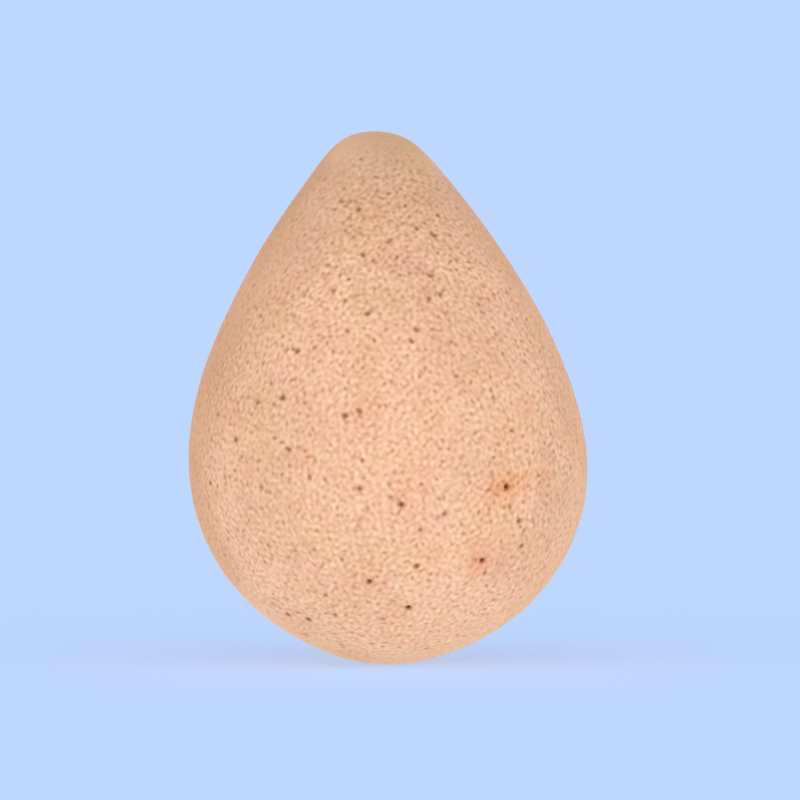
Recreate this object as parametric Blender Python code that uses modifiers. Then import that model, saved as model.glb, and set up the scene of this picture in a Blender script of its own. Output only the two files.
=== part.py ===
"""Teardrop facial cleansing sponge: one piece of fine open-cell foam that stands on its broad round end.

Metres, +Z up. The origin is the centre of the flat foot. The tip points up and leans towards -X,
and -Y is the front. The foam is a turned teardrop, leant over a little, with open pores all round.
"""

import math
import random

import bmesh
import bpy
from mathutils import Vector
from mathutils.geometry import interpolate_bezier

MM = 0.001

# The teardrop's side: a flat foot, a belly, a shoulder where the flank rounds over, and the tip.
HEIGHT = 60.0 * MM
BELLY_RADIUS = 22.5 * MM
BELLY_HEIGHT = 22.4 * MM
SHOULDER_RADIUS = 7.4 * MM
SHOULDER_DROP = 4.7 * MM
SHOULDER_SLOPE = math.radians(38.0)
FOOT_RADIUS = 2.5 * MM
FOOT_FLARE = math.radians(8.0)
TIP_LEAN = 1.7 * MM

# How far each curve holds its upper and its lower direction, as shares of the straight way between.
TIP_FULLNESS = (0.41, 0.43)
FLANK_FULLNESS = (0.15, 0.37)
BASE_FULLNESS = (0.42, 0.32)

# How many straight pieces the tip's, the flank's and the base's curve have, and how many the turn has.
CURVE_PIECES = (6, 12, 12)
TURN_STEPS = 64
MERGE_DISTANCE = 0.01 * MM
SHARP_ANGLE = math.radians(30.0)

# The widest pores of the front: degrees round it towards +X, share of the height, mouth radius.
FRONT_PORES = (
    (35.6, 0.337, 0.42 * MM),
    (7.5, 0.116, 0.40 * MM),
    (30.9, 0.202, 0.38 * MM),
    (-6.6, 0.165, 0.38 * MM),
    (3.8, 0.306, 0.36 * MM),
    (8.8, 0.193, 0.34 * MM),
    (-38.6, 0.090, 0.34 * MM),
    (-31.7, 0.499, 0.34 * MM),
    (-28.7, 0.583, 0.33 * MM),
    (-11.6, 0.467, 0.33 * MM),
    (41.5, 0.273, 0.33 * MM),
    (-5.4, 0.652, 0.33 * MM),
)

# The pores scattered over the rest, clear of the foot, of the very tip and of each other.
SCATTERED_PORES = 120
SCATTERED_RADIUS = (0.24 * MM, 0.36 * MM)
PORE_SPACING = 2.6 * MM
PORE_MARGIN = 2.0 * MM
PORE_SUBDIVISIONS = 1
MOST_TRIES = 20000
SEED = 7

FOAM_COLOUR = (0.855, 0.509, 0.337, 1.0)
FOAM_ROUGHNESS = 0.95
FOAM_SPECULAR = 0.2


def curve_between(upper, upper_heading, lower, lower_heading, fullness, pieces):
    """One cubic curve from upper to lower as points, with the headings that it has at its ends."""
    straight_way = (lower - upper).length
    upper_handle = upper + upper_heading * (fullness[0] * straight_way)
    lower_handle = lower - lower_heading * (fullness[1] * straight_way)
    return interpolate_bezier(upper, upper_handle, lower_handle, lower, pieces + 1)


def teardrop_side():
    """The outer side as (radius, height) points, from the tip down to the rim of the foot."""
    tip = Vector((0.0, HEIGHT))
    shoulder = Vector((SHOULDER_RADIUS, HEIGHT - SHOULDER_DROP))
    belly = Vector((BELLY_RADIUS, BELLY_HEIGHT))
    foot_rim = Vector((FOOT_RADIUS, 0.0))
    outwards = Vector((1.0, 0.0))
    down_the_flank = Vector((math.sin(SHOULDER_SLOPE), -math.cos(SHOULDER_SLOPE)))
    down = Vector((0.0, -1.0))
    in_to_the_foot = Vector((-math.cos(FOOT_FLARE), -math.sin(FOOT_FLARE)))
    of_tip, of_flank, of_base = CURVE_PIECES
    cap = curve_between(tip, outwards, shoulder, down_the_flank, TIP_FULLNESS, of_tip)
    flank = curve_between(shoulder, down_the_flank, belly, down, FLANK_FULLNESS, of_flank)
    base = curve_between(belly, down, foot_rim, in_to_the_foot, BASE_FULLNESS, of_base)
    return cap + flank[1:] + base[1:]


def lean_at(height):
    """How far the midline stands off the foot's centre at this height: it grows with the square."""
    return -TIP_LEAN * (height / HEIGHT) ** 2


def new_collection(name):
    collection = bpy.data.collections.new(name)
    bpy.context.scene.collection.children.link(collection)
    return collection


def foam_material():
    material = bpy.data.materials.new("foam")
    material.use_nodes = True
    material.diffuse_color = FOAM_COLOUR
    shader = material.node_tree.nodes["Principled BSDF"]
    shader.inputs["Base Color"].default_value = FOAM_COLOUR
    shader.inputs["Roughness"].default_value = FOAM_ROUGHNESS
    shader.inputs["Specular IOR Level"].default_value = FOAM_SPECULAR
    shader.inputs["Metallic"].default_value = 0.0
    return material


def turned_teardrop(side, collection):
    """The side and the flat foot turned about +Z, then leant over."""
    profile = bpy.data.meshes.new("side_profile")
    points = [(point.x, 0.0, point.y) for point in side]
    points.append((0.0, 0.0, 0.0))
    edges = [(index, index + 1) for index in range(len(points) - 1)]
    profile.from_pydata(points, edges, [])
    body = bpy.data.objects.new("foam_body", profile)
    collection.objects.link(body)
    turn = body.modifiers.new("turn", "SCREW")
    turn.axis = "Z"
    turn.steps = TURN_STEPS
    turn.render_steps = TURN_STEPS
    turn.use_merge_vertices = True
    turn.merge_threshold = MERGE_DISTANCE
    evaluated = body.evaluated_get(bpy.context.evaluated_depsgraph_get())
    teardrop = bpy.data.meshes.new_from_object(evaluated)
    body.modifiers.clear()
    body.data = teardrop
    bpy.data.meshes.remove(profile)
    teardrop.name = "foam_body"
    for vertex in teardrop.vertices:
        vertex.co.x += lean_at(vertex.co.z)
    teardrop.shade_smooth()
    teardrop.set_sharp_from_angle(angle=SHARP_ANGLE)
    return body


def side_at(side, height):
    """Radius of the side at this height, and the direction that it faces there."""
    for upper, lower in zip(side, side[1:]):
        if lower.y <= height <= upper.y:
            share = (upper.y - height) / (upper.y - lower.y)
            run = (lower - upper).normalized()
            return upper.lerp(lower, share).x, Vector((-run.y, run.x))
    raise ValueError(f"the side doesn't reach {height / MM:.1f} mm")


def pore_place(side, angle, height):
    """The middle of a pore's mouth on the foam, and the direction that it faces."""
    radius, facing = side_at(side, height)
    outwards = Vector((math.sin(angle), -math.cos(angle), 0.0))
    middle = outwards * radius + Vector((lean_at(height), 0.0, height))
    direction = outwards * facing.x + Vector((0.0, 0.0, facing.y))
    return middle, direction


def front_pores(side):
    """The widest pores, each as its mouth's middle, direction and radius."""
    pores = []
    for degrees, share, mouth_radius in FRONT_PORES:
        middle, direction = pore_place(side, math.radians(degrees), share * HEIGHT)
        pores.append((middle, direction, mouth_radius))
    return pores


def scattered_pores(side, pores):
    """More pores, as likely on any patch of the foam, each kept a clear distance from the others."""
    draw = random.Random(SEED)
    middles = [middle for middle, _, _ in pores]
    scattered = []
    for _ in range(MOST_TRIES):
        if len(scattered) == SCATTERED_PORES:
            break
        angle = draw.uniform(-math.pi, math.pi)
        height = draw.uniform(PORE_MARGIN, HEIGHT - PORE_MARGIN)
        mouth_radius = draw.uniform(*SCATTERED_RADIUS)
        radius, facing = side_at(side, height)
        foam_per_height = radius / facing.x
        if draw.uniform(0.0, BELLY_RADIUS) > foam_per_height:
            continue
        middle, direction = pore_place(side, angle, height)
        if all((middle - other).length > PORE_SPACING for other in middles):
            middles.append(middle)
            scattered.append((middle, direction, mouth_radius))
    return scattered


def pore_cutter(pores, collection):
    """One mesh of small rough balls, half sunk in the foam, that each leave an open cup."""
    balls = bmesh.new()
    for middle, direction, mouth_radius in pores:
        place = direction.to_track_quat("Z", "Y").to_matrix().to_4x4()
        place.translation = middle
        bmesh.ops.create_icosphere(
            balls, subdivisions=PORE_SUBDIVISIONS, radius=mouth_radius, matrix=place
        )
    mesh = bpy.data.meshes.new("pore_cutter")
    balls.to_mesh(mesh)
    balls.free()
    cutter = bpy.data.objects.new("pore_cutter", mesh)
    cutter.hide_render = True
    cutter.display_type = "WIRE"
    collection.objects.link(cutter)
    return cutter


def main():
    for obj in list(bpy.data.objects):
        bpy.data.objects.remove(obj, do_unlink=True)
    parts = new_collection("facial_cleansing_sponge")
    cutters = new_collection("cutters")
    side = teardrop_side()
    body = turned_teardrop(side, parts)
    body.data.materials.append(foam_material())
    pores = front_pores(side)
    pores += scattered_pores(side, pores)
    cut = body.modifiers.new("pores", "BOOLEAN")
    cut.operation = "DIFFERENCE"
    cut.solver = "EXACT"
    cut.object = pore_cutter(pores, cutters)


main()
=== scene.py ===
"""Looks of the teardrop facial cleansing sponge: its fine open-cell foam, a pale floor, light and camera.

Metres, +Z up. The front is towards -Y, and the left side of the picture is towards -X.
"""
import math

import bpy
import numpy as np
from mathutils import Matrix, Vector, kdtree
from mathutils.geometry import interpolate_bezier


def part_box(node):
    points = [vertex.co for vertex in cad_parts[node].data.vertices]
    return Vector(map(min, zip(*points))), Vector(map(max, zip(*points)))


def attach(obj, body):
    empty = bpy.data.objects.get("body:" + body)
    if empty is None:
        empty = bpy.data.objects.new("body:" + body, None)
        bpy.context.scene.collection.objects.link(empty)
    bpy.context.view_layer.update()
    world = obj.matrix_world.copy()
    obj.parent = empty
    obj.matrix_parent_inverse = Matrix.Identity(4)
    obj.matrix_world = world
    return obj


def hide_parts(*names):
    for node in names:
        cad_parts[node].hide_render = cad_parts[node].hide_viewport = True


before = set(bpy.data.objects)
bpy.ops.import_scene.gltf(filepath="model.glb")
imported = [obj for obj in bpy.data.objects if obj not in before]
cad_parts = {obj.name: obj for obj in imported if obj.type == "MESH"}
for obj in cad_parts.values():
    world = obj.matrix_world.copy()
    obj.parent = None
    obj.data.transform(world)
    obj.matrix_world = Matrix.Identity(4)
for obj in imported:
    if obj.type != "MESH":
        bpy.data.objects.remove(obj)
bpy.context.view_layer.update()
FOAM_LOW, FOAM_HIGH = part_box("foam_body")

MM = 0.001

# The teardrop's side, as in the solid: a flat foot, a belly, a shoulder and the tip.
HEIGHT = FOAM_HIGH.z
BELLY_RADIUS = (FOAM_HIGH.y - FOAM_LOW.y) / 2
BELLY_HEIGHT = 22.4 * MM
SHOULDER_RADIUS = 7.4 * MM
SHOULDER_DROP = 4.7 * MM
SHOULDER_SLOPE = math.radians(38.0)
FOOT_RADIUS = 2.5 * MM
FOOT_FLARE = math.radians(8.0)
TIP_LEAN = 1.7 * MM
# How far each of its curves holds its upper and its lower direction, as shares of the straight way
# between, and how many points each curve is worked out at.
TIP_FULLNESS = (0.41, 0.43)
FLANK_FULLNESS = (0.15, 0.37)
BASE_FULLNESS = (0.42, 0.32)
CURVE_POINTS = 160

# How finely the foam's skin is divided: each edge of a cube is halved this often. The cube's faces lie
# in the map in columns and rows, each with a margin, as a share of its place.
HALVINGS = 8
MAP_COLUMNS = 3
MAP_ROWS = 2
MAP_MARGIN = 0.012

# What all that is left to chance is drawn from.
SEED = 11
# Keeps a length that something is divided by off zero.
LEAST_LENGTH = 1e-9

# The slow unevenness of the cut foam: the usual length, the height and the number of the waves of each
# size, and how many times the usual length their shortest and their longest may be.
SWELLS = ((15.0 * MM, 0.045 * MM, 24), (3.6 * MM, 0.012 * MM, 60))
SWELL_SPREAD = (0.7, 1.4)
# The cell pattern that covers the foam: the shortest and the longest of its waves, their number, its
# relief, the painted shade that its crests lose and its gaps gain (painted light on the crests, painted
# shade in the gaps), and further painted shade in the gaps, which grows the more steeply the deeper they
# lie.
CELL_WAVES = (0.50 * MM, 0.95 * MM)
CELL_WAVE_COUNT = 320
CELL_RELIEF = 0.004 * MM
CELL_PAINTED_SHADE = 0.0252
GAP_PAINTED_SHADE = 0.043
GAP_STEEPNESS = 0.6

# Dents where cells are cut open: how far apart they lie, how much of that they stray, and the radius,
# depth and painted shade of the slightest one and of the strongest one: the shade that falls in a hollow
# is painted into its colour.
DENT_SPACING = 1.20 * MM
DENT_JITTER = 0.40
DENT_RADIUS = (0.185 * MM, 0.31 * MM)
DENT_DEPTH = (0.0 * MM, 0.35 * MM)
DENT_PAINTED_SHADE = (0.0, 1.12)
# How many times as long as wide a slight one may be, how much of that the strongest one loses, and how
# many radii from its middle a dent is still felt.
MOST_STRETCH = 1.7
ROUNDING = 0.9
DENT_REACH = 2.8
# The scattered ones: the mean strength of the usual ones, the share and the mean strength of the deep
# ones, and the strength that none of them passes.
USUAL_DENT = 0.043
DEEP_SHARE = 0.10
DEEP_DENT = 0.12
DEEPEST_DENT = 0.34

# The pores that stand out on the front: degrees round it towards +X, share of the height, strength.
FRONT_PORES = (
    (35.6, 0.337, 1.00),
    (7.5, 0.116, 0.90),
    (30.9, 0.202, 0.85),
    (-6.6, 0.165, 0.70),
    (3.8, 0.306, 0.77),
    (8.8, 0.193, 0.62),
    (-38.6, 0.090, 0.75),
    (-31.7, 0.499, 0.65),
    (-28.7, 0.583, 0.60),
    (-11.6, 0.467, 0.58),
    (41.5, 0.273, 0.62),
    (-5.4, 0.652, 0.51),
    (-7.8, 0.335, 0.62),
    (-48.0, 0.422, 0.58),
    (-7.5, 0.474, 0.55),
    (-49.2, 0.098, 0.72),
    (44.9, 0.227, 0.50),
    (-28.5, 0.405, 0.54),
    (9.0, 0.602, 0.48),
    (11.4, 0.622, 0.46),
    (-11.9, 0.846, 0.46),
    (16.2, 0.288, 0.46),
    (28.3, 0.799, 0.48),
    (22.4, 0.687, 0.38),
    (-40.8, 0.490, 0.47),
    (-8.2, 0.762, 0.36),
    (-22.2, 0.355, 0.41),
    (-23.5, 0.100, 0.42),
    (-12.2, 0.620, 0.35),
    (-19.0, 0.695, 0.34),
    (36.0, 0.837, 0.42),
    (19.8, 0.812, 0.34),
    (-24.0, 0.137, 0.46),
    (17.5, 0.680, 0.30),
    (9.2, 0.260, 0.34),
    (-60.8, 0.342, 0.50),
)
# The pores with a reddish flush round them: their places in that list, each with the flush's strength.
# Then how far a flush spreads, the waves of its ragged edge, and how ragged that is.
FLUSHED_PORES = {0: 1.00, 1: 0.25, 2: 0.75, 3: 0.25, 4: 0.28}
FLUSH_RADIUS = 2.1 * MM
FLUSH_EDGE = (1.5 * MM, 4.0 * MM)
FLUSH_EDGE_WAVES = 40
FLUSH_RAGGEDNESS = 0.22
FLUSH_TINT = (1.00, 0.80, 0.70, 1.0)

# The plain foam's level of painted shade, and the foam's colour by its painted shade: painted light on the
# crests between cells, the plain foam, then painted shade in the valleys, the slight pores and the deepest
# ones.
PLAIN_FOAM_SHADE = 0.12
PAINTED_SHADE_COLOURS = (
    (0.00, (1.000, 0.660, 0.450, 1.0)),
    (PLAIN_FOAM_SHADE, (0.868, 0.502, 0.335, 1.0)),
    (0.26, (0.705, 0.372, 0.226, 1.0)),
    (0.40, (0.520, 0.260, 0.146, 1.0)),
    (1.00, (0.110, 0.018, 0.006, 1.0)),
)
# Soft patches, pinkish, tan and dim ones: their tint and size, the noise where they begin and where they
# are complete, and how far off in metres their noise is read, so that no two kinds fall together.
PATCHES = (
    ((1.00, 0.945, 0.975, 1.0), 3.8 * MM, (0.48, 0.66), (0.31, 0.62, -0.31)),
    ((0.985, 0.985, 0.91, 1.0), 5.0 * MM, (0.45, 0.65), (0.77, 1.54, -0.77)),
    ((0.945, 0.935, 0.92, 1.0), 10.0 * MM, (0.40, 0.62), (0.13, 0.26, -0.13)),
)
PATCH_DETAIL = 0.5
# A fine grit between the cells: its size and detail, the noise where it is smoothest and roughest, the
# roughness that it has there, and the height of its bumps.
GRIT_SIZE = 0.22 * MM
GRIT_DETAIL = 3.0
GRIT_LIMITS = (0.3, 0.7)
FOAM_ROUGHNESS = (0.86, 0.98)
GRIT_HEIGHT = 0.006 * MM
FOAM_SPECULAR = 0.18
# The open cells' walls catch light when they are seen edge-on, which hides the gaps between them.
SHEEN_WEIGHT = 1.0
SHEEN_ROUGHNESS = 0.50
SHEEN_TINT = (0.62, 0.375, 0.232, 1.0)

# The tint of the foam by share of the height: darker at the foot, a painted shade where it stands on the
# floor; a little paler low on the belly, a painted light; plain above it; then a greyer belt and the paler
# crown, partly the foam's own discolouration and partly painted shade of the shoulder and tip, which face
# up.
HEIGHT_TINTS_AND_SHADE = (
    (0.00, (0.87, 0.905, 0.885, 1.0)),
    (0.04, (0.985, 0.995, 0.985, 1.0)),
    (0.09, (1.02, 1.02, 1.03, 1.0)),
    (0.14, (1.04, 1.035, 1.05, 1.0)),
    (0.20, (1.03, 1.01, 1.02, 1.0)),
    (0.28, (1.00, 0.995, 0.995, 1.0)),
    (0.60, (1.00, 1.00, 1.00, 1.0)),
    (0.70, (0.985, 1.00, 1.00, 1.0)),
    (0.77, (0.93, 0.92, 0.92, 1.0)),
    (0.82, (0.915, 0.91, 0.895, 1.0)),
    (0.87, (0.835, 0.86, 0.845, 1.0)),
    (0.91, (0.875, 0.93, 0.91, 1.0)),
    (0.945, (0.965, 1.03, 1.00, 1.0)),
    (0.97, (0.945, 1.025, 0.99, 1.0)),
    (0.99, (0.86, 1.025, 0.925, 1.0)),
)
# How far these bands, and the grain's, wander up and down, and the waves that they wander in. Below
# this height they wander less and less, down to the foot.
WANDER = 0.9 * MM
WANDER_WAVES = (5.0 * MM, 14.0 * MM)
WANDER_WAVE_COUNT = 40
SETTLED_HEIGHT = 10.0 * MM
# The crown's greyed patch, on its front.
GREYED_PLACE = (-0.6 * MM, -6.0 * MM, 57.0 * MM)
GREYED_RADIUS = 6.5 * MM
GREYED_TINT = (0.80, 0.82, 0.82, 1.0)

# Between these heights, what is given by the belly and by the shoulder eases from one to the other.
SHOULDER_FROM = 33.0 * MM
SHOULDER_TO = 44.0 * MM
# The left side is a little darker and browner, a painted shade: how far round to the left a place must
# face for it to begin and be complete, by the belly and by the shoulder, and the least share of its facing
# that must be level for it to count in full. Then how far its border wanders and in which waves, how much
# the foam faces the back where the painted shade starts to fade and where it ends, and its tint.
LEFT_SHADE_FROM = (0.79, 0.63)
LEFT_SHADE_TO = (0.96, 0.98)
LEFT_SHADE_LEVEL = 0.85
LEFT_SHADE_WANDER = 0.024
LEFT_SHADE_WAVES = (8.0 * MM, 24.0 * MM)
LEFT_SHADE_WAVE_COUNT = 30
LEFT_SHADE_BACK = (-0.05, 0.65)
LEFT_SHADE_TINT = (0.895, 0.835, 0.765, 1.0)
# The grain grows coarser between these heights, and then eases to the smoother tip, a little lower on
# the left.
COARSE_FROM = 36.0 * MM
COARSE_TO = 43.0 * MM
COARSE_GAIN = 0.22
SMOOTH_FROM = 53.5 * MM
SMOOTH_TO = 59.0 * MM
SMOOTH_SHARE = 0.72
SMOOTH_SLANT = 0.20
# It is gentler round the sides, by the belly and by the shoulder: how much the foam faces the front or
# the back where the grain is gentlest and where it is whole, the share that it loses, and the slant
# that makes the left side the gentler one.
SIDE_FROM = (0.20, 0.46)
SIDE_TO = (0.55, 0.78)
SIDE_SHARE = (0.18, 0.48)
SIDE_SLANT = (0.0, 0.18)
# The relief grows from nothing to the full over this height above the foot.
FOOT_EASE = 0.3 * MM

# The picture: the lens and the sensor in millimetres, the height that is seen where the sponge stands,
# and the middle of it.
LENS = 200.0
SENSOR = 36.0
FRAME_HEIGHT = 90.42 * MM
FRAME_MIDDLE = Vector((1.14 * MM, 0.0, 29.67 * MM))

# The plain background, and the light of the studio's dome by direction: its colour and its level, what
# it gains towards the zenith and towards the front, and what it gains both ways along the line from
# front to back.
BACKGROUND = (0.515, 0.679, 1.0, 1.0)
WHITE = (1.0, 1.0, 1.0, 1.0)
DOME_LEVEL = 0.70
DOME_ZENITH = -0.153
DOME_FRONT = 0.6225
DOME_ENDS = 0.30
# The floor: the colour and strength of the light that it sends up, the share of its look that the
# sponge's shadow can take away, and its width.
FLOOR_GLOW = (0.93, 1.00, 1.04, 1.0)
FLOOR_LIGHT = 0.985
FLOOR_SHADOW = 0.40
FLOOR_SIZE = 12.0


def curve_between(upper, upper_heading, lower, lower_heading, fullness):
    """Points of one cubic curve from upper to lower, with the headings that it has at its ends."""
    straight_way = (lower - upper).length
    upper_handle = upper + upper_heading * (fullness[0] * straight_way)
    lower_handle = lower - lower_heading * (fullness[1] * straight_way)
    return interpolate_bezier(upper, upper_handle, lower_handle, lower, CURVE_POINTS)


def teardrop_side():
    """The outer side as (radius, height) rows, from the tip down to the middle of the foot."""
    tip = Vector((0.0, HEIGHT))
    shoulder = Vector((SHOULDER_RADIUS, HEIGHT - SHOULDER_DROP))
    belly = Vector((BELLY_RADIUS, BELLY_HEIGHT))
    foot_rim = Vector((FOOT_RADIUS, 0.0))
    outwards = Vector((1.0, 0.0))
    down_the_flank = Vector((math.sin(SHOULDER_SLOPE), -math.cos(SHOULDER_SLOPE)))
    down = Vector((0.0, -1.0))
    in_to_the_foot = Vector((-math.cos(FOOT_FLARE), -math.sin(FOOT_FLARE)))
    cap = curve_between(tip, outwards, shoulder, down_the_flank, TIP_FULLNESS)
    flank = curve_between(shoulder, down_the_flank, belly, down, FLANK_FULLNESS)
    base = curve_between(belly, down, foot_rim, in_to_the_foot, BASE_FULLNESS)
    return np.array([*cap, *flank[1:], *base[1:], (0.0, 0.0)])


def lean_at(height):
    """How far the midline stands off the foot's centre at this height: it grows with the square."""
    return -TIP_LEAN * (height / HEIGHT) ** 2


def bands_of(side):
    """The surface of the turned side between each of its points and the next, divided by pi."""
    lengths = np.hypot(*np.diff(side, axis=0).T)
    return lengths * (side[1:, 0] + side[:-1, 0])


def angles_down(side):
    """How far down from a sphere's pole each point of the side belongs, for even shares of the surface."""
    bands = bands_of(side)
    share = np.concatenate(([0.0], np.cumsum(bands))) / bands.sum()
    return 2.0 * np.arcsin(np.sqrt(np.clip(share, 0.0, 1.0)))


def surface_of(side):
    return math.pi * float(bands_of(side).sum())


def on_the_teardrop(directions, side):
    """The points of the smooth teardrop for these unit directions of a sphere, as evenly spread."""
    angles = angles_down(side)
    down = np.arccos(np.clip(directions[:, 2], -1.0, 1.0))
    radius = np.interp(down, angles, side[:, 0])
    height = np.interp(down, angles, side[:, 1])
    level = np.maximum(np.hypot(directions[:, 0], directions[:, 1]), LEAST_LENGTH)
    x = directions[:, 0] / level * radius + lean_at(height)
    return np.column_stack((x, directions[:, 1] / level * radius, height))


def front_place(degrees, share, side):
    """The point of the smooth teardrop this far round its front, at this share of its height."""
    height = share * HEIGHT
    radius = np.interp(height, side[::-1, 1], side[::-1, 0])
    angle = math.radians(degrees)
    return np.array((math.sin(angle) * radius + lean_at(height), -math.cos(angle) * radius, height))


def lay_out_faces(mesh):
    """Gives each of the cube's six faces its own place in the map."""
    layout = mesh.uv_layers.active or mesh.uv_layers.new()
    layout.name = "OFBake"
    corners = ((0.0, 0.0), (1.0, 0.0), (1.0, 1.0), (0.0, 1.0))
    for face in mesh.polygons:
        row, column = divmod(face.index, MAP_COLUMNS)
        for loop, (across, up) in zip(face.loop_indices, corners):
            u = MAP_MARGIN + across * (1.0 - 2.0 * MAP_MARGIN)
            v = MAP_MARGIN + up * (1.0 - 2.0 * MAP_MARGIN)
            layout.data[loop].uv = ((column + u) / MAP_COLUMNS, (row + v) / MAP_ROWS)


def divided_cube(name):
    """A cube two units wide whose faces are finely divided, with a map of its six faces."""
    bpy.ops.mesh.primitive_cube_add(size=2.0)
    cube = bpy.context.object
    cube.name = name
    lay_out_faces(cube.data)
    divide = cube.modifiers.new("divide", "SUBSURF")
    divide.subdivision_type = "SIMPLE"
    divide.uv_smooth = "NONE"
    divide.levels = HALVINGS
    divide.render_levels = HALVINGS
    evaluated = cube.evaluated_get(bpy.context.evaluated_depsgraph_get())
    mesh = bpy.data.meshes.new_from_object(evaluated)
    cube.modifiers.clear()
    cube.data = mesh
    mesh.name = name
    return cube


def points_of(mesh):
    points = np.empty(len(mesh.vertices) * 3, np.float32)
    mesh.vertices.foreach_get("co", points)
    return points.reshape(-1, 3).astype(np.float64)


def normals_of(mesh):
    normals = np.empty(len(mesh.vertices) * 3, np.float32)
    mesh.vertex_normals.foreach_get("vector", normals)
    return normals.reshape(-1, 3).astype(np.float64)


def directions_of(mesh):
    """The unit directions of the cube's points, which a tangent spreads more evenly."""
    places = np.tan(points_of(mesh) * (math.pi / 4.0))
    return places / np.linalg.norm(places, axis=1)[:, None]


def move_points(mesh, points):
    mesh.vertices.foreach_set("co", points.astype(np.float32).ravel())
    mesh.update()


def set_attribute(mesh, name, values):
    attribute = mesh.attributes.new(name, "FLOAT", "POINT")
    attribute.data.foreach_set("value", values.astype(np.float32))


def smoothly(values, start, end):
    """0 up to start, 1 from end on, and an even ease between."""
    share = np.clip((values - start) / (end - start), 0.0, 1.0)
    return share * share * (3.0 - 2.0 * share)


def waves(points, shortest, longest, count, draw):
    """A random smooth field at these points, about -3 to 3: waves of these lengths in all directions."""
    field = np.zeros(len(points), np.float32)
    ways = draw.normal(size=(count, 3))
    ways /= np.linalg.norm(ways, axis=1)[:, None]
    lengths = draw.uniform(shortest, longest, count)
    phases = draw.uniform(0.0, math.tau, count)
    places = points.astype(np.float32)
    for way, length, phase in zip(ways, lengths, phases):
        field += np.sin(places @ (way * math.tau / length).astype(np.float32) + np.float32(phase))
    return field * math.sqrt(2.0 / count)


def even_directions(count, jitter, draw):
    """Unit directions spread evenly over a sphere by the golden angle, each moved a little at random."""
    index = np.arange(count) + 0.5
    height = 1.0 - 2.0 * index / count
    turn = index * math.pi * (3.0 - math.sqrt(5.0))
    level = np.sqrt(1.0 - height * height)
    directions = np.column_stack((level * np.cos(turn), level * np.sin(turn), height))
    spacing = math.sqrt(4.0 * math.pi / count)
    directions += draw.normal(size=directions.shape) * (jitter * spacing)
    return directions / np.linalg.norm(directions, axis=1)[:, None]


class Skin:
    """The smooth teardrop's points, and the relief and the painted shade that cells and dents give them."""

    def __init__(self, points, normals):
        self.points = points
        self.normals = normals
        self.relief = np.zeros(len(points))
        self.tone = np.full(len(points), PLAIN_FOAM_SHADE)
        self.tree = kdtree.KDTree(len(points))
        for index, point in enumerate(points):
            self.tree.insert(point, index)
        self.tree.balance()

    def roughen(self, draw):
        """Gives the skin its slow unevenness and its cells, with painted shade in their gaps and painted
        light on their crests.
        """
        for length, height, count in SWELLS:
            shortest, longest = (share * length for share in SWELL_SPREAD)
            self.relief += height * waves(self.points, shortest, longest, count, draw)
        cells = waves(self.points, *CELL_WAVES, CELL_WAVE_COUNT, draw)
        self.relief += CELL_RELIEF * cells
        # The gaps' mean is taken off, so that their painted shade leaves the foam's mean colour as it is.
        mean_gap = math.exp(GAP_STEEPNESS**2 / 2.0)
        self.tone += GAP_PAINTED_SHADE * (np.exp(-GAP_STEEPNESS * cells) - mean_gap) - CELL_PAINTED_SHADE * cells

    def dent(self, place, strength, stretch, lean):
        """Presses in one dent, stretched at this lean: the stronger, the wider and deeper, and the darker
        with painted shade.
        """
        radius = np.interp(strength, (0.0, 1.0), DENT_RADIUS)
        depth = np.interp(strength, (0.0, 1.0), DENT_DEPTH)
        shade = np.interp(strength, (0.0, 1.0), DENT_PAINTED_SHADE)
        found = self.tree.find_range(place, radius * stretch * DENT_REACH)
        if not found:
            return
        near = np.array([index for _, index, _ in found])
        normal = self.normals[near[0]]
        level = np.cross((0.0, 0.0, 1.0), normal)
        level /= max(np.linalg.norm(level), LEAST_LENGTH)
        up = np.cross(normal, level)
        along = math.cos(lean) * level + math.sin(lean) * up
        across = np.cross(normal, along)
        offset = self.points[near] - place
        reach = np.hypot(offset @ along / (radius * stretch), offset @ across / radius)
        bowl = np.exp(-(reach**2))
        self.relief[near] -= depth * bowl
        # The shade that falls in the hollow, painted into its colour.
        self.tone[near] += shade * bowl


def scattered_dents(side, draw):
    """The places and the strengths of dents all over the teardrop, most of them slight."""
    # The room that each dent would have in a pattern of even triangles.
    room_of_one = DENT_SPACING**2 * math.sqrt(3.0) / 2.0
    count = round(surface_of(side) / room_of_one)
    places = on_the_teardrop(even_directions(count, DENT_JITTER, draw), side)
    strengths = draw.exponential(USUAL_DENT, count)
    deep = draw.random(count) < DEEP_SHARE
    strengths[deep] = draw.exponential(DEEP_DENT, deep.sum())
    return places, np.minimum(strengths, DEEPEST_DENT)


def dented_skin(points, normals, side, draw):
    """The skin with its unevenness and cells, its scattered dents and the pores that stand out."""
    skin = Skin(points, normals)
    skin.roughen(draw)
    places, strengths = scattered_dents(side, draw)
    fronts = [front_place(degrees, share, side) for degrees, share, _ in FRONT_PORES]
    places = np.concatenate((places, fronts))
    strengths = np.concatenate((strengths, [strength for _, _, strength in FRONT_PORES]))
    stretches = 1.0 + draw.uniform(0.0, MOST_STRETCH - 1.0, len(places)) * (1.0 - ROUNDING * strengths)
    leans = draw.uniform(0.0, math.pi, len(places))
    for place, strength, stretch, lean in zip(places, strengths, stretches, leans):
        skin.dent(place, strength, stretch, lean)
    return skin


def wandering_height(points, draw):
    """Each point's height moved up or down a little, so that no band of tint or grain runs level."""
    wander = WANDER * waves(points, *WANDER_WAVES, WANDER_WAVE_COUNT, draw)
    return points[:, 2] + wander * smoothly(points[:, 2], 0.0, SETTLED_HEIGHT)


def up_to_the_shoulder(height, by_the_belly, by_the_shoulder):
    """What eases from the belly's value to the shoulder's with the height."""
    return by_the_belly + (by_the_shoulder - by_the_belly) * smoothly(height, SHOULDER_FROM, SHOULDER_TO)


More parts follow.
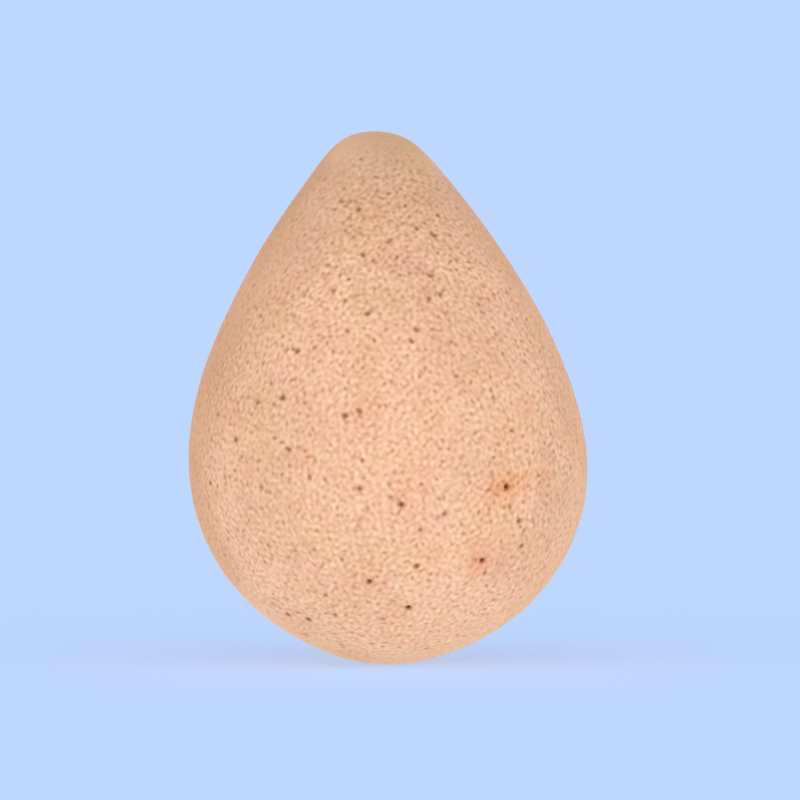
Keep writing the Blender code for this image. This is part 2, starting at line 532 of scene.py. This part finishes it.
def gentler_sides(normals, height):
    """The share of the grain that is left round the sides: less of it by the shoulder than by the belly."""
    start = up_to_the_shoulder(height, *SIDE_FROM)
    end = up_to_the_shoulder(height, *SIDE_TO)
    share = up_to_the_shoulder(height, *SIDE_SHARE)
    slant = up_to_the_shoulder(height, *SIDE_SLANT)
    facing = np.abs(normals[:, 1]) + slant * normals[:, 0]
    return 1.0 - share * (1.0 - smoothly(facing, start, end))


def grain_of(points, normals, height):
    """How strong the relief and the painted shade of cells and dents are: coarser high up, gentler at the
    tip and round the sides.
    """
    leftward = height - SMOOTH_SLANT * points[:, 0]
    coarser = 1.0 + COARSE_GAIN * smoothly(height, COARSE_FROM, COARSE_TO)
    smoother = 1.0 - SMOOTH_SHARE * smoothly(leftward, SMOOTH_FROM, SMOOTH_TO)
    return coarser * smoother * gentler_sides(normals, height)


def flush_of(points, side, draw):
    """How flushed the foam is round the pores that have a reddish halo with a ragged edge."""
    ragged = 1.0 + FLUSH_RAGGEDNESS * waves(points, *FLUSH_EDGE, FLUSH_EDGE_WAVES, draw)
    flush = np.zeros(len(points))
    for index, strength in FLUSHED_PORES.items():
        degrees, share, _ = FRONT_PORES[index]
        away = np.linalg.norm(points - front_place(degrees, share, side), axis=1) * ragged
        flush = np.maximum(flush, strength * np.exp(-((away / FLUSH_RADIUS) ** 2)))
    return flush


def left_painted_shade_of(points, normals, height, draw):
    """How much of the left side's painted shade each place has: it reaches further round by the shoulder.
    """
    level = np.maximum(np.hypot(normals[:, 0], normals[:, 1]), LEFT_SHADE_LEVEL)
    wander = LEFT_SHADE_WANDER * waves(points, *LEFT_SHADE_WAVES, LEFT_SHADE_WAVE_COUNT, draw)
    towards_the_left = wander - normals[:, 0] / level
    in_front = 1.0 - smoothly(normals[:, 1], *LEFT_SHADE_BACK)
    start = up_to_the_shoulder(height, *LEFT_SHADE_FROM)
    end = up_to_the_shoulder(height, *LEFT_SHADE_TO)
    return in_front * smoothly(towards_the_left, start, end)


def sponge_foam():
    """The teardrop's skin with its relief, and with what its material reads as attributes."""
    side = teardrop_side()
    foam = divided_cube("sponge_foam")
    smooth = on_the_teardrop(directions_of(foam.data), side)
    move_points(foam.data, smooth)
    normals = normals_of(foam.data)
    draw = np.random.default_rng(SEED)
    skin = dented_skin(smooth, normals, side, draw)
    height = wandering_height(smooth, draw)
    grain = grain_of(smooth, normals, height)
    off_the_foot = smoothly(smooth[:, 2], 0.0, FOOT_EASE)
    points = smooth + normals * (skin.relief * grain * off_the_foot)[:, None]
    points[:, 2] = np.maximum(points[:, 2], 0.0)
    move_points(foam.data, points)
    # The painted shade of the cells' gaps, the dents and the pores, and the painted light of the crests,
    # for the material.
    set_attribute(foam.data, "tone", PLAIN_FOAM_SHADE + (skin.tone - PLAIN_FOAM_SHADE) * grain)
    set_attribute(foam.data, "rise", np.clip(height / HEIGHT, 0.0, 1.0))
    set_attribute(foam.data, "flush", flush_of(smooth, side, draw))
    # The left side's painted shade, darker and browner.
    set_attribute(foam.data, "left_painted_shade", left_painted_shade_of(smooth, normals, height, draw))
    foam.data.shade_smooth()
    return foam


def attribute_of(tree, name):
    node = tree.nodes.new("ShaderNodeAttribute")
    node.attribute_name = name
    return node.outputs["Fac"]


def eased(tree, value, start, end, results=(0.0, 1.0)):
    """Takes the value from start to end smoothly to the first and the second of the results."""
    ease = tree.nodes.new("ShaderNodeMapRange")
    ease.interpolation_type = "SMOOTHSTEP"
    ease.inputs["From Min"].default_value = start
    ease.inputs["From Max"].default_value = end
    ease.inputs["To Min"].default_value = results[0]
    ease.inputs["To Max"].default_value = results[1]
    tree.links.new(value, ease.inputs["Value"])
    return ease.outputs["Result"]


def colour_ramp(tree, value, stops):
    """The colour that these stops of position and colour give the value."""
    ramp = tree.nodes.new("ShaderNodeValToRGB")
    elements = ramp.color_ramp.elements
    while len(elements) < len(stops):
        elements.new(1.0)
    for element, (position, colour) in zip(elements, stops):
        element.position = position
        element.color = colour
    tree.links.new(value, ramp.inputs["Fac"])
    return ramp.outputs["Color"]


def multiplied(tree, colour):
    """A node that multiplies this colour by its second one, as much as its factor says."""
    mix = tree.nodes.new("ShaderNodeMix")
    mix.data_type = "RGBA"
    mix.blend_type = "MULTIPLY"
    tree.links.new(colour, mix.inputs["A"])
    return mix


def tinted(tree, colour, tint, share):
    """Multiplies the colour by a tint, as much as share says."""
    mix = multiplied(tree, colour)
    mix.inputs["B"].default_value = tint
    tree.links.new(share, mix.inputs["Factor"])
    return mix.outputs["Result"]


def tinted_and_shaded_by_height(tree, colour):
    """Multiplies the colour by the tints of the height, which paint shade at the foot and on the shoulder
    and light low on the belly.
    """
    mix = multiplied(tree, colour)
    mix.inputs["Factor"].default_value = 1.0
    tree.links.new(colour_ramp(tree, attribute_of(tree, "rise"), HEIGHT_TINTS_AND_SHADE), mix.inputs["B"])
    return mix.outputs["Result"]


def near_the_greyed_place(tree, place):
    """1 at the middle of the crown's greyed patch, and 0 past its radius."""
    away = tree.nodes.new("ShaderNodeVectorMath")
    away.operation = "DISTANCE"
    away.inputs[1].default_value = GREYED_PLACE
    tree.links.new(place, away.inputs[0])
    return eased(tree, away.outputs["Value"], 0.0, GREYED_RADIUS, (1.0, 0.0))


def patches(tree, place, size, limits, offset):
    """Soft random patches of this size, from 0 to 1 where the noise runs between the limits."""
    shift = tree.nodes.new("ShaderNodeVectorMath")
    shift.operation = "ADD"
    shift.inputs[1].default_value = offset
    noise = tree.nodes.new("ShaderNodeTexNoise")
    noise.inputs["Scale"].default_value = 1.0 / size
    noise.inputs["Detail"].default_value = PATCH_DETAIL
    tree.links.new(place, shift.inputs[0])
    tree.links.new(shift.outputs["Vector"], noise.inputs["Vector"])
    return eased(tree, noise.outputs["Fac"], *limits)


def foam_colour(tree, place):
    """The foam's colour: by the painted shade of cells, dents and pores, with its patches and flushes, the
    left side's painted shade, then by the height's tints, painted shade and light.
    """
    # The colour by painted shade: lighter on the crests, darker in the gaps, dents and pores.
    colour = colour_ramp(tree, attribute_of(tree, "tone"), PAINTED_SHADE_COLOURS)
    for tint, size, limits, offset in PATCHES:
        colour = tinted(tree, colour, tint, patches(tree, place, size, limits, offset))
    colour = tinted(tree, colour, FLUSH_TINT, attribute_of(tree, "flush"))
    # Painted shade on the left side, darker and browner.
    colour = tinted(tree, colour, LEFT_SHADE_TINT, attribute_of(tree, "left_painted_shade"))
    # The height's tints: painted shade at the foot, painted light low on the belly, the greyer belt and
    # crown partly painted shade.
    colour = tinted_and_shaded_by_height(tree, colour)
    return tinted(tree, colour, GREYED_TINT, near_the_greyed_place(tree, place))


def add_grit(tree, place, shader):
    """Gives the shader the foam's fine grit, as roughness and as bumps."""
    grit = tree.nodes.new("ShaderNodeTexNoise")
    grit.inputs["Scale"].default_value = 1.0 / GRIT_SIZE
    grit.inputs["Detail"].default_value = GRIT_DETAIL
    tree.links.new(place, grit.inputs["Vector"])
    rough = eased(tree, grit.outputs["Fac"], *GRIT_LIMITS, FOAM_ROUGHNESS)
    tree.links.new(rough, shader.inputs["Roughness"])
    bump = tree.nodes.new("ShaderNodeBump")
    bump.inputs["Distance"].default_value = GRIT_HEIGHT
    tree.links.new(grit.outputs["Fac"], bump.inputs["Height"])
    tree.links.new(bump.outputs["Normal"], shader.inputs["Normal"])


def foam_material():
    """Matt open-cell foam with a soft sheen."""
    material = bpy.data.materials.new("sponge_foam")
    material.use_nodes = True
    tree = material.node_tree
    shader = tree.nodes["Principled BSDF"]
    shader.inputs["Specular IOR Level"].default_value = FOAM_SPECULAR
    shader.inputs["Sheen Weight"].default_value = SHEEN_WEIGHT
    shader.inputs["Sheen Roughness"].default_value = SHEEN_ROUGHNESS
    shader.inputs["Sheen Tint"].default_value = SHEEN_TINT
    place = tree.nodes.new("ShaderNodeTexCoord").outputs["Object"]
    tree.links.new(foam_colour(tree, place), shader.inputs["Base Color"])
    add_grit(tree, place, shader)
    return material


def greater(tree, one, other):
    """The greater of two values."""
    node = tree.nodes.new("ShaderNodeMath")
    node.operation = "MAXIMUM"
    tree.links.new(one, node.inputs[0])
    tree.links.new(other, node.inputs[1])
    return node.outputs["Value"]


def seen_directly(tree):
    """1 on the rays of the camera, of gloss and of transmission, which see the plain background."""
    path = tree.nodes.new("ShaderNodeLightPath")
    seen_or_mirrored = greater(tree, path.outputs["Is Camera Ray"], path.outputs["Is Glossy Ray"])
    return greater(tree, seen_or_mirrored, path.outputs["Is Transmission Ray"])


def dot_with(tree, direction, factors):
    """The sum of the direction's parts, each times its factor."""
    node = tree.nodes.new("ShaderNodeVectorMath")
    node.operation = "DOT_PRODUCT"
    node.inputs[1].default_value = factors
    tree.links.new(direction, node.inputs[0])
    return node.outputs["Value"]


def dome_level(tree):
    """How bright the dome is by direction: its gain both ways from front to back grows with the square."""
    direction = tree.nodes.new("ShaderNodeTexCoord").outputs["Generated"]
    one_way = dot_with(tree, direction, (0.0, -DOME_FRONT, DOME_ZENITH))
    to_the_ends = dot_with(tree, direction, (0.0, math.sqrt(DOME_ENDS), 0.0))
    both_ways = tree.nodes.new("ShaderNodeMath")
    both_ways.operation = "MULTIPLY_ADD"
    both_ways.inputs[2].default_value = DOME_LEVEL
    tree.links.new(to_the_ends, both_ways.inputs[0])
    tree.links.new(to_the_ends, both_ways.inputs[1])
    level = tree.nodes.new("ShaderNodeMath")
    level.operation = "ADD"
    tree.links.new(one_way, level.inputs[0])
    tree.links.new(both_ways.outputs["Value"], level.inputs[1])
    return level.outputs["Value"]


def studio():
    """Soft studio light: the plain background where it is seen, and elsewhere a dome brightest in front."""
    world = bpy.data.worlds.new("studio")
    bpy.context.scene.world = world
    world.use_nodes = True
    tree = world.node_tree
    tree.nodes.clear()
    dome = tree.nodes.new("ShaderNodeBackground")
    dome.inputs["Color"].default_value = WHITE
    tree.links.new(dome_level(tree), dome.inputs["Strength"])
    plain = tree.nodes.new("ShaderNodeBackground")
    plain.inputs["Color"].default_value = BACKGROUND
    choose = tree.nodes.new("ShaderNodeMixShader")
    tree.links.new(seen_directly(tree), choose.inputs["Fac"])
    tree.links.new(dome.outputs["Background"], choose.inputs[1])
    tree.links.new(plain.outputs["Background"], choose.inputs[2])
    output = tree.nodes.new("ShaderNodeOutputWorld")
    tree.links.new(choose.outputs["Shader"], output.inputs["Surface"])


def glow(tree, colour, strength):
    """A surface that sends out an even light."""
    emission = tree.nodes.new("ShaderNodeEmission")
    emission.inputs["Color"].default_value = colour
    emission.inputs["Strength"].default_value = strength
    return emission.outputs["Emission"]


def floor_look(tree):
    """The floor as it is seen: the background's colour, a share of it as light that a shadow takes away."""
    # The dome's mean light on a level surface, where the zenith's gain counts 2/3 and the ends' 1/4.
    light_on_it = DOME_LEVEL + DOME_ZENITH * 2.0 / 3.0 + DOME_ENDS / 4.0
    share = FLOOR_SHADOW / light_on_it
    shaded = tree.nodes.new("ShaderNodeBsdfDiffuse")
    shaded.inputs["Color"].default_value = (*(channel * share for channel in BACKGROUND[:3]), 1.0)
    look = tree.nodes.new("ShaderNodeAddShader")
    tree.links.new(glow(tree, BACKGROUND, 1.0 - FLOOR_SHADOW), look.inputs[0])
    tree.links.new(shaded.outputs["BSDF"], look.inputs[1])
    return look.outputs["Shader"]


def floor_material():
    """Pale floor: the background's colour with the sponge's soft shadow, and even light for the sponge."""
    material = bpy.data.materials.new("floor")
    material.use_nodes = True
    tree = material.node_tree
    tree.nodes.clear()
    choose = tree.nodes.new("ShaderNodeMixShader")
    tree.links.new(seen_directly(tree), choose.inputs["Fac"])
    tree.links.new(glow(tree, FLOOR_GLOW, FLOOR_LIGHT), choose.inputs[1])
    tree.links.new(floor_look(tree), choose.inputs[2])
    output = tree.nodes.new("ShaderNodeOutputMaterial")
    tree.links.new(choose.outputs["Shader"], output.inputs["Surface"])
    return material


def floor():
    bpy.ops.mesh.primitive_plane_add(size=FLOOR_SIZE)
    plane = bpy.context.object
    plane.name = "floor"
    plane.data.materials.append(floor_material())


def camera():
    """A level camera in front of the sponge, with the photograph's frame."""
    eye = bpy.data.cameras.new("camera")
    eye.lens = LENS
    eye.sensor_width = SENSOR
    holder = bpy.data.objects.new("camera", eye)
    bpy.context.scene.collection.objects.link(holder)
    away = FRAME_HEIGHT * LENS / SENSOR
    holder.location = FRAME_MIDDLE + Vector((0.0, -away, 0.0))
    holder.rotation_euler = (math.pi / 2.0, 0.0, 0.0)
    bpy.context.scene.camera = holder


def main():
    bpy.context.scene.view_settings.view_transform = "Standard"
    camera()
    studio()
    floor()
    foam = sponge_foam()
    foam.data.materials.append(foam_material())
    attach(foam, "root")
    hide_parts("foam_body")


main()
